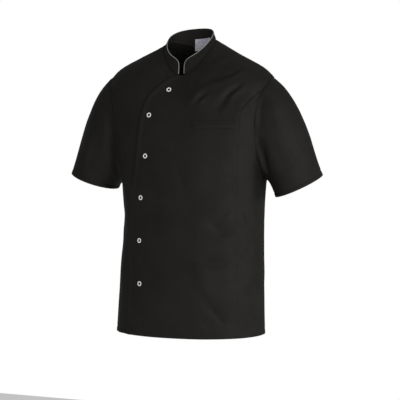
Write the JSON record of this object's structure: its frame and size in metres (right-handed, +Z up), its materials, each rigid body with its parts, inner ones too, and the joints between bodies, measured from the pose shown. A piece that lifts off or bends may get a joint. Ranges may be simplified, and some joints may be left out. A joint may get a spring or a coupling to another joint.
{
  "type": "chef jacket",
  "caption": "Short-sleeved chef jacket with an asymmetric curved front, ring snaps, a stand collar with piping and a chest welt pocket, in its worn hollow shape.",
  "frame": {"origin": "middle of the neck opening, level with the shoulders at the neck, where the wearer's shoulders carry the jacket", "axes": "+Z up, the jacket faces -Y, +X is its left side as worn"},
  "size_m": [0.6906, 0.2596, 0.799],
  "materials": {
    "black_twill": "black cotton and polyester twill with a soft dull sheen",
    "piping": "pale grey corded piping",
    "label": "bare woven label, pale with a faint lavender tone",
    "snap": "white lacquered ring snap"
  },
  "bodies": {
    "root": {"front_left": "black_twill", "side_front_left": "black_twill", "front_right": "black_twill", "side_front_right": "black_twill", "back": "black_twill", "sleeve_left": "black_twill", "sleeve_right": "black_twill", "collar": "black_twill", "pocket_welt": "black_twill", "collar_piping": "piping", "neck_label": "label", "snap_1": "snap", "snap_2": "snap", "snap_3": "snap", "snap_4": "snap", "snap_5": "snap", "snap_6": "snap"}
  },
  "joints": []
}
